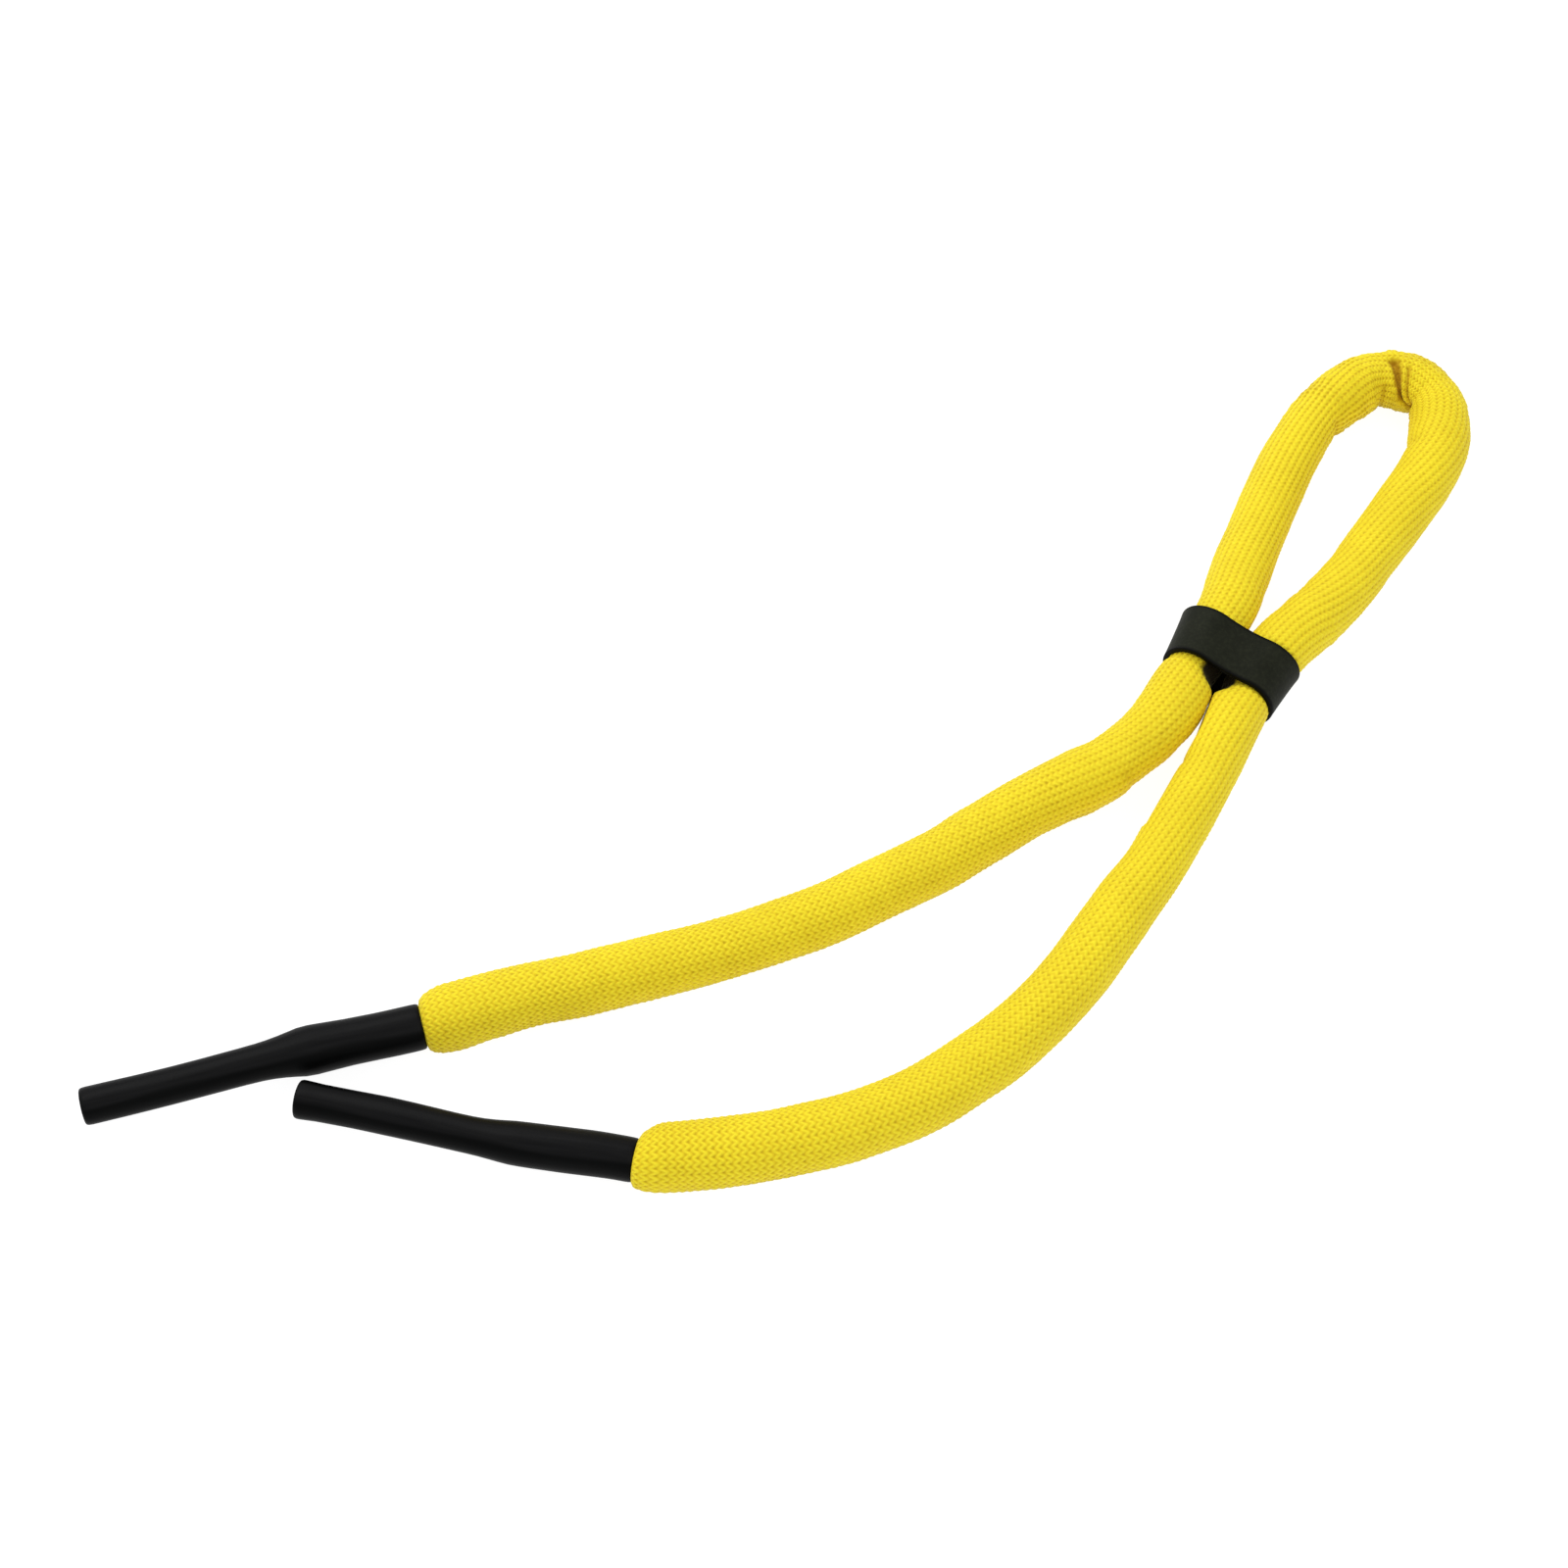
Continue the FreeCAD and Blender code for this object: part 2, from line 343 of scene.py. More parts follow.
# Band of painted reflection along a sleeve's top, lighter than the rest: cosines from its middle
CROWN_REFLECTION_START = 0.72
CROWN_REFLECTION_BLEND = 0.16


def smooth(value):
    """Smooth step of a value from 0 to 1."""
    t = np.clip(value, 0.0, 1.0)
    return t * t * (3 - 2 * t)


def table(rows, column, where):
    """One column of a table, smoothly interpolated along the cord."""
    stops = np.array([row[0] for row in rows], float)
    values = np.array([row[column] for row in rows], float)
    where = np.asarray(where, float)
    index = np.clip(np.searchsorted(stops, where, side="right") - 1, 0, len(stops) - 2)
    part = (where - stops[index]) / (stops[index + 1] - stops[index])
    return values[index] + (values[index + 1] - values[index]) * smooth(part)


def normalised(vectors):
    return vectors / np.linalg.norm(vectors, axis=-1, keepdims=True)


# ---- the cord's line


def route_points():
    """Points of the route's spline, in millimetres."""
    curve = bpy.data.curves.new("route_line", "CURVE")
    curve.dimensions = "3D"
    curve.resolution_u = 96
    spline = curve.splines.new("NURBS")
    spline.points.add(len(ROUTE) - 1)
    for point, place in zip(spline.points, ROUTE):
        point.co = (place[0] * MM, place[1] * MM, place[2] * MM, 1.0)
    spline.order_u = 3
    spline.use_endpoint_u = True
    holder = bpy.data.objects.new("route_line", curve)
    bpy.context.scene.collection.objects.link(holder)
    bpy.context.view_layer.update()
    line = bpy.data.meshes.new_from_object(holder)
    points = np.array([vertex.co for vertex in line.vertices], float) / MM
    bpy.data.objects.remove(holder)
    bpy.data.meshes.remove(line)
    bpy.data.curves.remove(curve)
    return points


class Line:
    """The cord's line, read by distance along it."""

    def __init__(self, points):
        steps = np.linalg.norm(np.diff(points, axis=0), axis=1)
        keep = np.r_[True, steps > 1e-6]
        self.points = points[keep]
        steps = np.linalg.norm(np.diff(self.points, axis=0), axis=1)
        self.at = np.r_[0.0, np.cumsum(steps)]
        self.length = self.at[-1]

    def place(self, where):
        where = np.asarray(where, float)
        return np.stack([np.interp(where, self.at, self.points[:, k]) for k in range(3)], -1)

    def frame(self, where):
        """Places, and the forward, right and upward directions there."""
        reach = 0.9
        ahead = np.clip(np.asarray(where, float) + reach, 0, self.length)
        behind = np.clip(np.asarray(where, float) - reach, 0, self.length)
        forward = normalised(self.place(ahead) - self.place(behind))
        right = normalised(np.cross(forward, UP))
        return self.place(where), forward, right, np.cross(right, forward)


def running_total(rows, length):
    """Distances along the cord and the total up to each of a table's rate."""
    where = np.linspace(0.0, length, 4001)
    rate = table(rows, 1, where)
    total = np.r_[0.0, np.cumsum((rate[1:] + rate[:-1]) / 2 * np.diff(where))]
    return where, total


# ---- the knitted cover


def smooth_noise(rng, rows, columns, reach_rows, reach_columns):
    """Even random field, smoothed along both ways and closed round the columns."""
    field = rng.standard_normal((rows, columns))
    for axis, reach in ((0, reach_rows), (1, reach_columns)):
        taps = np.exp(-0.5 * (np.arange(-3 * reach, 3 * reach + 1) / reach) ** 2)
        taps = taps / math.sqrt((taps ** 2).sum())
        pad = [(0, 0), (0, 0)]
        pad[axis] = (3 * reach, 3 * reach)
        padded = np.pad(field, pad, mode="wrap" if axis else "reflect")
        field = np.apply_along_axis(lambda line: np.convolve(line, taps, mode="valid"), axis, padded)
    return field / field.std()


def wrapped(angle):
    return (angle + math.pi) % (2 * math.pi) - math.pi


def fold(where, degrees, path, width, depth):
    """Narrow valley along (distance, degrees) points round the cord, fading beyond its ends."""
    first = path[0][1]
    last = path[-1][1]
    middle = (first + last) / 2
    turned = middle + (degrees - middle + 180) % 360 - 180
    line = np.interp(turned, [point[1] for point in path], [point[0] for point in path])
    across = (where - line) / width
    ends = smooth((turned - first) / FOLD_FADE + 1) * smooth((last - turned) / FOLD_FADE + 1)
    return -depth * np.exp(-np.abs(across) ** 1.7) * ends


def bulge(where, angle, centre, degrees, reach, spread, height):
    """Rounded bulge, or hollow if its height is negative."""
    around = wrapped(angle - math.radians(degrees)) / math.radians(spread)
    return height * np.exp(-0.5 * ((where - centre) / reach) ** 2 - 0.5 * around ** 2)


# Creases at the loop's far end and kinks in the legs: (distance, degrees) points, width, depth
FOLDS = (
    (((254.6, 2), (255.6, 28), (256.6, 50), (259.3, 80), (263.0, 98)), 1.05, 1.9),
    (((258.0, 14), (259.2, 40), (261.0, 62), (263.4, 82)), 0.75, 0.80),
    (((252.2, 62), (251.8, 90), (251.6, 130)), 1.1, 0.55),
    (((263.9, 84), (263.2, 150)), 1.1, 0.9),
    (((234.4, 66), (234.0, 130)), 1.3, 0.45),
    (((280.4, 50), (279.4, 130)), 1.5, 0.30),
    (((136.8, 60), (138.6, 128)), 1.6, 0.35),
    (((373.4, 60), (372.2, 130)), 1.5, 0.40),
)
FOLD_FADE = 16.0
# Crease depth at which the painted shade in the creases is full
CREASE_SHADE_DEPTH = 1.3
# Painted shade: the cover darkens towards the surface below, up to this height
LOW_SHADE_START = 7.0
# Rounded unevenness: distance, degrees, reach, spread, height
BULGES = (
    (257.4, 50, 1.0, 26, 0.35),
    (262.0, 52, 2.4, 26, 0.40),
    (250.6, 30, 3.0, 26, 0.20),
    (268.0, 40, 3.4, 30, 0.20),
    (131.0, 118, 4.0, 30, 0.15),
    (156.5, 0, 5.0, 40, -0.35),
    (156.5, 180, 5.0, 40, -0.35),
    (361.5, 0, 5.0, 40, -0.30),
    (361.5, 180, 5.0, 40, -0.30),
)
# Hollows between the legs under the keeper band's near rim, in the same columns, and the painted shade in
# them
HOLLOWS = (
    (162.4, 62, 1.5, 30, -1.0),
    (355.2, 62, 1.4, 28, -1.0),
)
SHADE_REACH = 60.0
SHADE_LENGTH = 6.0
SHADE_SPREAD = 1.15
# Where the painted shade in the hollows sets in, and how fast it darkens
GAP_SHADE_START = 0.30
GAP_SHADE_BLEND = 0.35


def valleys(where, angle):
    """Depth of the deepest crease at each place."""
    degrees = np.degrees(angle)
    return np.minimum.reduce([fold(where, degrees, path, width, depth) for path, width, depth in FOLDS])


def hollows(where, angle):
    """Hollows between the legs under the keeper band's near rim."""
    return sum(bulge(where, angle, *row) for row in HOLLOWS)


def shade(where, angle):
    """Painted shade in the hollows, reaching on to where the legs meet."""
    total = 0.0
    for (centre, degrees, reach, spread, height), inward in zip(HOLLOWS, (1, -1)):
        turned = wrapped(angle - math.radians(degrees))
        beyond = np.clip(turned, 0.0, math.radians(SHADE_REACH))
        inside = np.clip((where - centre) * inward, 0.0, SHADE_LENGTH) * inward
        shaded = bulge(where - inside, turned - beyond, centre, 0.0, reach * SHADE_SPREAD, spread, -height)
        total = total + shaded
    return total


def cord_radius(where, angle):
    """Radius of the soft cord, before its stitches."""
    right = table(HALF_WIDTHS, 1, where)
    left = table(HALF_WIDTHS, 2, where)
    radius = (right + left) / 2 + (right - left) / 2 * np.sin(angle)
    radius = radius + valleys(where, angle)
    for row in BULGES:
        radius = radius + bulge(where, angle, *row)
    return radius + hollows(where, angle)


def stitches(courses, wales, rib, stitch):
    """Height of the knit from -1 to 1: chevrons of yarn, two strands to a wale, and ribs."""
    chevrons = np.cos(TURN * courses + CHEVRON * np.cos(TURN * wales))
    strands = -np.cos(2 * TURN * wales)
    ribs = np.cos(TURN * wales)
    height = stitch * (0.75 * chevrons + 0.25 * strands) + rib * ribs
    return height / (stitch + rib)


class Cover:
    """The whole knitted cover as rings of points, before it is divided."""

    def __init__(self, line):
        self.line = line
        at, courses = running_total(COURSES_PER_MM, line.length)
        count = int(courses[-1] * COURSE_STEPS)
        self.courses = np.arange(count + 1) / COURSE_STEPS
        self.where = np.interp(self.courses, courses, at)
        drift_at, drift = running_total(WALE_DRIFT, line.length)
        twist = np.interp(self.where, drift_at, drift) / 6.0
        self.around = WALES * WALE_STEPS
        self.wales = np.arange(self.around) / WALE_STEPS
        self.angle = twist[:, None] + TURN * self.wales[None, :] / WALES
        self.places, self.forward, self.right, self.up = self.ring_frames()
        self.points = self.surface()
        self.normals = self.surface_normals()

    def ring_frames(self):
        """Ring centres and directions, turned to meet each sleeve squarely at its mouth."""
        places, forward, right, up = self.line.frame(self.where)
        for side, distance, sign in (("a", self.where, -1), ("b", self.line.length - self.where, 1)):
            aim = sleeve_axis(side) * sign
            share = (1 - smooth(distance / DOME_REACH))[:, None]
            forward = normalised(forward * (1 - share) + aim * share)
        right = normalised(np.cross(forward, UP))
        return places, forward, right, np.cross(right, forward)

    def surface(self):
        rng = np.random.default_rng(SEED)
        where = self.where[:, None]
        radius = cord_radius(where, self.angle)
        uneven = smooth_noise(rng, len(self.where), self.around, 10, 9)
        lumps = smooth_noise(rng, len(self.where), self.around, 2, 2)
        rib = table(RIB_SHARE, 1, self.where)[:, None]
        stitch = table(STITCH_SHARE, 1, self.where)[:, None]
        bend = table(LOOP_BEND, 1, self.where)[:, None]
        sway = smooth_noise(rng, len(self.where), self.around, 7, 7)
        wales = self.wales[None, :] + (0.05 + 0.16 * bend) * sway
        courses = self.courses[:, None] + (0.03 + 0.08 * bend) * lumps
        relief = stitches(courses, wales, rib, stitch)
        relief = relief * (1 + 0.20 * lumps) * table(RELIEF, 1, self.where)[:, None]
        relief = relief + 0.6 * bend * lumps + 0.5 * bend * sway
        squeeze = self.mouth_share()
        full = MOUTH_RADIUS + (radius - MOUTH_RADIUS) * squeeze[:, None]
        full = full + 0.045 * uneven - 0.06
        outer = full + KNIT_RELIEF * relief
        return self.placed(outer)

    def mouth_share(self):
        """From 0 at a sleeve's mouth to 1 at the full cord, as a rounded shoulder."""
        ends = np.minimum(self.where, self.line.length - self.where)
        t = np.clip(ends / DOME_REACH, 0.0, 1.0)
        return (1 - (1 - t) ** 2.3) ** (1 / 2.3)

    def placed(self, radius):
        """Points at a radius round each ring, kept off the surface and off the other leg."""
        across = np.sin(self.angle)[..., None] * self.right[:, None, :]
        above = np.cos(self.angle)[..., None] * self.up[:, None, :]
        points = self.places[:, None, :] + radius[..., None] * (across + above)
        points[..., 2] = settled(points[..., 2])
        return self.parted(points)

    def parted(self, points):
        """Flat where the two legs press together in and beside the keeper band."""
        along = (points - KEEPER_CENTRE) @ KEEPER_AXIS
        lean = PARTING_LEAN * np.clip(-along - PARTING_START, 0.0, PARTING_REACH)
        offset = (points - KEEPER_CENTRE) @ KEEPER_ACROSS - lean
        near = (along > -PRESSED_BELOW) & (along < PRESSED_ABOVE)
        for (first, last), sign in ((PRESSED_A, 1), (PRESSED_B, -1)):
            chosen = (self.where > first) & (self.where < last)
            inside = near & chosen[:, None]
            gap = -offset * sign
            wanted = softened(gap)
            shift = np.where(inside, wanted - gap, 0.0)
            points = points - shift[..., None] * sign * KEEPER_ACROSS
        return points

    def surface_normals(self):
        """Smooth normals over the whole cover, so that its pieces meet without a line."""
        closed = np.concatenate([self.points[:, -1:], self.points, self.points[:, :1]], axis=1)
        around = closed[:, 2:] - closed[:, :-2]
        along = np.gradient(self.points, axis=0)
        return normalised(np.cross(around, along))

    def index(self, where):
        return int(np.argmin(np.abs(self.where - where)))


def softened(gap):
    """A gap to the plane between the legs, never less than a little, with a rounded start."""
    excess = (gap - PARTING_GAP) / PARTING_SOFT
    return PARTING_GAP + PARTING_SOFT * np.logaddexp(0.0, excess * 2.0) / 2.0


def settled(height):
    """Heights pressed flat on the surface below, with a rounded start."""
    return SETTLED_SOFT * np.logaddexp(0.0, height / SETTLED_SOFT)


def sleeve_axis(side):
    """From a sleeve's mouth to its tip, drooping a little."""
    height = ROUTE[0][2] if side == "a" else ROUTE[-1][2]
    droop = math.asin((height - SLEEVE_TIP_HEIGHTS[side]) / SLEEVE_LENGTH)
    return polar(SLEEVE_HEADINGS[side]) * math.cos(droop) - UP * math.sin(droop)


def sleeve_mouth(side):
    return np.array(ROUTE[0] if side == "a" else ROUTE[-1], float)


# ---- meshes


def new_piece(name, points, faces, normals=None):
    mesh = bpy.data.meshes.new(name)
    mesh.from_pydata([tuple(point) for point in np.asarray(points) * MM], [], faces)
    mesh.polygons.foreach_set("use_smooth", [True] * len(mesh.polygons))
    mesh.update()
    if normals is not None:
        mesh.normals_split_custom_set_from_vertices([tuple(normal) for normal in normals])
    piece = bpy.data.objects.new(name, mesh)
    bpy.context.scene.collection.objects.link(piece)
    return piece


def grid_faces(rows, columns, offset=0, flip=False):
    """Quads of rings closed round their columns."""
    faces = []
    for row in range(rows - 1):
        for column in range(columns):
            after = (column + 1) % columns
            low = offset + row * columns
            high = low + columns
            quad = (low + column, low + after, high + after, high + column)
            faces.append(quad[::-1] if flip else quad)
    return faces


def joined_rings(first, second, columns):
    """Quads between two rings, given by their first vertices."""
    faces = []
    for column in range(columns):
        after = (column + 1) % columns
        faces.append((first + column, first + after, second + after, second + column))
    return faces


def put_uv(piece, name, values_of_corner):
    layer = piece.data.uv_layers.new(name=name)
    layer.data.foreach_set("uv", np.asarray(values_of_corner, np.float32).ravel())


def put_attribute(piece, name, values):
    attribute = piece.data.attributes.new(name, "FLOAT", "POINT")
    attribute.data.foreach_set("value", np.asarray(values, np.float32).ravel())


def corner_uv(piece, along, around, period):
    """UVs per face corner from two values per vertex, the second closing round a period."""
    loops = np.zeros(len(piece.data.loops), np.int32)
    piece.data.loops.foreach_get("vertex_index", loops)
    sizes = np.zeros(len(piece.data.polygons), np.int32)
    piece.data.polygons.foreach_get("loop_total", sizes)
    u = along[loops]
    v = around[loops]
    face_of = np.repeat(np.arange(len(sizes)), sizes)
    highest = np.zeros(len(sizes))
    np.maximum.at(highest, face_of, v)
    v = np.where(highest[face_of] - v > period / 2, v + period, v)
    return np.stack([u, v], -1)


def inner_radius(spokes, picks):
    """Radius of the cover's inner face: below the lowest of the outer face around each place."""
    reach = np.linalg.norm(spokes, axis=-1)
    spans = [reach[max(0, pick - INNER_STEP):pick + INNER_STEP + 1] for pick in picks]
    lowest = np.array([span.min(axis=0) for span in spans])
    around = [np.roll(lowest, turn, axis=1) for turn in range(-INNER_TURNS, INNER_TURNS + 1)]
    return np.minimum.reduce(around) - KNIT_THICKNESS


def knit_piece(cover, name, first, last, extra=None):
    """One stretch of cover with its inner face, from ring to ring; extra rings tuck into a sleeve."""
    columns = cover.around
    rings = cover.points[first:last + 1]
    normals = cover.normals[first:last + 1]
    courses = cover.courses[first:last + 1]
    where = cover.where[first:last + 1]
    if extra is not None:
        rings, normals, courses, where = extra(rings, normals, courses, where)
    centre = rings.mean(axis=1, keepdims=True)
    count = len(rings)
    picks = sorted(set(list(range(0, count - 1, INNER_STEP)) + [count - 1]))
    spokes = normalised(rings - centre)[picks]
    inner = centre[picks] + spokes * inner_radius(rings - centre, picks)[..., None]
    points = np.concatenate([rings.reshape(-1, 3), inner.reshape(-1, 3)])
    all_normals = np.concatenate([normals.reshape(-1, 3), normalised(-spokes).reshape(-1, 3)])
    faces = grid_faces(count, columns)
    start = count * columns
    faces += grid_faces(len(picks), columns, start, flip=True)
    faces += joined_rings(start, 0, columns)
    faces += joined_rings((count - 1) * columns, start + (len(picks) - 1) * columns, columns)
    piece = new_piece(name, points, faces, all_normals)
    along = np.concatenate([np.repeat(courses, columns), np.repeat(courses[picks], columns)])
    around = np.concatenate([np.tile(cover.wales, count), np.tile(cover.wales, len(picks))])
    put_uv(piece, "stitch", corner_uv(piece, along, around, WALES))
    distance = np.concatenate([np.repeat(where, columns), np.repeat(where[picks], columns)])
    put_attribute(piece, "rib", table(RIB_SHARE, 1, distance))
    put_attribute(piece, "stitching", table(STITCH_SHARE, 1, distance))
    put_attribute(piece, "contrast", table(RELIEF, 1, distance))
    # Painted shade low on the cord, darker towards the surface below
    put_attribute(piece, "low", smooth((LOW_SHADE_START - points[:, 2]) / LOW_SHADE_START))
    # Painted shade in the creases, from their depth
    creases = np.zeros(len(points))
    added = count - (last + 1 - first)
    angles = np.pad(cover.angle[first:last + 1], ((added, 0), (0, 0)), mode="edge")
    creases[:start] = -valleys(where[:, None], angles).ravel()
    put_attribute(piece, "crease", smooth(creases / CREASE_SHADE_DEPTH))
    # Painted shade in the hollows between the legs under the band's rim
    hollow_shade = np.zeros(len(points))
    hollow_shade[:start] = shade(where[:, None], angles).ravel()
    put_attribute(piece, "gap", smooth((hollow_shade - GAP_SHADE_START) / GAP_SHADE_BLEND))
    return piece


def tucked(side):
    """Adds rings that carry the gathered cover inside a sleeve's mouth."""

    def add(rings, normals, courses, where):
        axis = sleeve_axis(side)
        mouth = sleeve_mouth(side)
        end = 0 if side == "a" else -1
        spokes = rings[end] - rings[end].mean(axis=0)
        spokes = spokes - (spokes @ axis)[:, None] * axis
        outward = normalised(spokes)
        more = []
        for depth, radius in ((0.05, 3.35), (0.35, TUCK_RADIUS), (TUCK, TUCK_RADIUS)):
            more.append(mouth + axis * depth + outward * radius)
        more = np.array(more)
        flat = np.repeat(outward[None], 3, axis=0)
        steps = np.array([0.1, 0.4, 1.0])
        if side == "a":
            rings = np.concatenate([more[::-1], rings])
            normals = np.concatenate([flat, normals])
            courses = np.concatenate([courses[0] - steps[::-1], courses])
            where = np.concatenate([where[0] - steps[::-1], where])
        else:
            rings = np.concatenate([rings, more])
            normals = np.concatenate([normals, flat])
            courses = np.concatenate([courses, courses[-1] + steps])
            where = np.concatenate([where, where[-1] + steps])
        return rings, normals, courses, where

    return add


def metres(point):
    return tuple(float(value) * MM for value in point)


# Depth of the foam's face below the cord's half width
FOAM_INSET = (
    (0, 2.6),
    (14, 2.4),
    (24, 1.15),
    (140, 1.15),
    (152, 2.3),
    (178, 2.3),
    (190, 1.15),
    (228, 1.15),
    (238, 3.0),
    (272, 3.0),
    (284, 1.15),
    (335, 1.15),
    (345, 2.3),
    (366, 2.3),
    (378, 1.15),
    (488, 1.15),
    (498, 2.4),
    (512, 2.6),
)
FOAM_END = 11.0
FOAM_GAP = 0.05
FOAM_AROUND = 40
FOAM_STEP = 2.5


def foam_piece(line, name, start, finish):
    """Foam rod inside the cover."""
    columns = FOAM_AROUND
    count = max(8, int((finish - start) / FOAM_STEP))
    where = np.linspace(start, finish, count)
    places, _, right, up = line.frame(where)
    angle = np.arange(columns) * 2 * math.pi / columns
    radius = np.minimum(table(HALF_WIDTHS, 1, where), table(HALF_WIDTHS, 2, where))
    radius = radius - table(FOAM_INSET, 1, where)
    radius = radius[:, None] + 0.05 * np.sin(where[:, None] * 0.9 + 3 * angle[None, :])
    ring = np.sin(angle)[None, :, None] * right[:, None] + np.cos(angle)[None, :, None] * up[:, None]
    points = places[:, None] + ring * radius[..., None]
    faces = grid_faces(count, columns)
    faces.append(tuple(range(columns))[::-1])
    faces.append(tuple((count - 1) * columns + column for column in range(columns)))
    return new_piece(name, points.reshape(-1, 3), faces)


# ---- the rubber parts

# Outline of each sleeve from its socket out over the mouth, the step and the grip, and back up the bore:
# distance from the mouth, radius of sleeve A, radius of sleeve B
SLEEVE_OUTLINE = (
    (21.0, 1.95, 1.95),
    (20.8, 3.12, 3.12),
    (10.0, 3.15, 3.15),
    (0.9, 3.15, 3.15),
    (0.25, 3.22, 3.22),
    (0.04, 3.38, 3.32),
    (0.0, 3.60, 3.48),
    (0.04, 3.84, 3.66),
    (0.22, 4.02, 3.79),
    (0.60, 4.10, 3.85),
    (1.4, 4.13, 3.88),
    (4.0, 4.11, 3.90),
    (8.0, 4.10, 3.95),
    (13.0, 4.16, 3.97),
    (17.0, 4.34, 3.95),
    (19.5, 4.45, 3.91),
    (21.5, 4.36, 3.84),
    (23.0, 4.10, 3.70),
    (25.0, 3.78, 3.50),
    (27.0, 3.55, 3.35),
    (29.0, 3.42, 3.28),
    (32.0, 3.36, 3.26),
    (38.0, 3.34, 3.30),
    (44.0, 3.33, 3.33),
    (50.0, 3.34, 3.28),
    (56.0, 3.38, 3.31),
    (58.9, 3.40, 3.46),
    (59.5, 3.35, 3.46),
    (59.85, 3.20, 3.34),
    (59.98, 3.00, 3.12),
    (60.0, 2.60, 2.70),
    (59.97, 2.25, 2.25),
    (59.8, 2.02, 2.02),
    (59.3, 1.92, 1.92),
    (50.0, 1.90, 1.90),
    (36.0, 1.90, 1.90),
    (22.0, 1.90, 1.90),
)
OUTLINE_SPACING = 0.8


def finer_outline(column):
    """One sleeve's outline with its long runs divided."""
    outline = [(row[0], row[column]) for row in SLEEVE_OUTLINE]
    rows = [outline[0]]
    for (x0, r0), (x1, r1) in zip(outline, outline[1:]):
        parts = max(1, int(abs(x1 - x0) / OUTLINE_SPACING))
        for part in range(1, parts + 1):
            t = part / parts
            rows.append((x0 + (x1 - x0) * t, r0 + (r1 - r0) * t))
    return np.array(rows)


def sleeve_piece(side):
    """Temple sleeve: a soft stepped tube, a little bowed and not quite round."""
    rng = np.random.default_rng(SEED + (1 if side == "a" else 2))
    rows = finer_outline(1 if side == "a" else 2)
    axis = sleeve_axis(side)
    mouth = sleeve_mouth(side)
    lateral = normalised(np.cross(UP, axis))
    above = np.cross(axis, lateral)
    angle = np.arange(SLEEVE_AROUND) * 2 * math.pi / SLEEVE_AROUND
    along = rows[:, 0]
    outer = rows[:, 1] > 3.25
    bow = SLEEVE_BOW[side] * np.exp(-0.5 * ((along - SLEEVE_BOW_AT) / 10.0) ** 2)
    bow = bow * smooth(along / 12.0)
    wave = smooth_noise(rng, len(rows), SLEEVE_AROUND, 6, 14) * 0.03
    wave = wave * outer[:, None] * smooth(along / 4)[:, None] * smooth((60 - along) / 2)[:, None]
    grip = smooth((along - 20) / 9)
    flat = 0.035 * grip[:, None] * np.cos(2 * (angle[None, :] - math.radians(35)))
    edge = 0.05 * grip[:, None] * np.exp(-0.5 * (wrapped(angle - math.radians(12))[None, :] / 0.20) ** 2)
    radius = rows[:, 1][:, None] + wave + (flat + edge) * outer[:, None]
    ring = np.sin(angle)[None, :, None] * lateral + np.cos(angle)[None, :, None] * above
    sign = -1 if side == "a" else 1
    centre = mouth + axis * along[:, None] + lateral * (bow * sign)[:, None]
    points = centre[:, None, :] + ring * radius[..., None]
    points[..., 2] = np.maximum(points[..., 2], 0.02)
    faces = grid_faces(len(rows), SLEEVE_AROUND)
    faces += joined_rings((len(rows) - 1) * SLEEVE_AROUND, 0, SLEEVE_AROUND)
    piece = new_piece("sleeve_" + side, points.reshape(-1, 3), faces)
    lengths = np.repeat(along, SLEEVE_AROUND)
    turns = np.tile(angle, len(rows))
    put_uv(piece, "length", corner_uv(piece, lengths, turns, 2 * math.pi))
    # Painted reflection: a lighter band along the sleeve's top, wavering a little along it
    wander = 0.05 * np.sin(along * 0.21 + SLEEVE_BOW[side] * 9)
    crown_reflection = smooth((np.cos(angle)[None, :] - CROWN_REFLECTION_START - wander[:, None]) / CROWN_REFLECTION_BLEND)
    put_attribute(piece, "crown_reflection", (crown_reflection * outer[:, None]).ravel())
    return piece


def band_outline(count):
    """Places on the band's inner outline, and outward directions, in the band's own plane."""
    waist = math.radians(KEEPER_WAIST)
    half = NECK_SPACING / 2
    low = half / math.tan(waist)
    waist_radius = half / math.sin(waist) - KEEPER_INNER
    quarter = math.pi / 2
    arcs = (
        ((half, 0.0), KEEPER_INNER, -quarter - waist, quarter + waist, 1),
        ((0.0, low), waist_radius, waist - quarter, -quarter - waist, -1),
        ((-half, 0.0), KEEPER_INNER, quarter - waist, 3 * quarter + waist, 1),
        ((0.0, -low), waist_radius, quarter + waist, quarter - waist, -1),
    )
    lengths = [abs(a1 - a0) * radius for _, radius, a0, a1, _ in arcs]
    places = []
    outward = []
    for (centre, radius, a0, a1, sign), length in zip(arcs, lengths):
        parts = max(6, int(round(count * length / sum(lengths))))
        for part in range(parts):
            angle = a0 + (a1 - a0) * part / parts
            way = np.array([math.cos(angle), math.sin(angle)])
            places.append(np.array(centre) + way * radius)
            outward.append(way * sign)
    return np.array(places), np.array(outward)


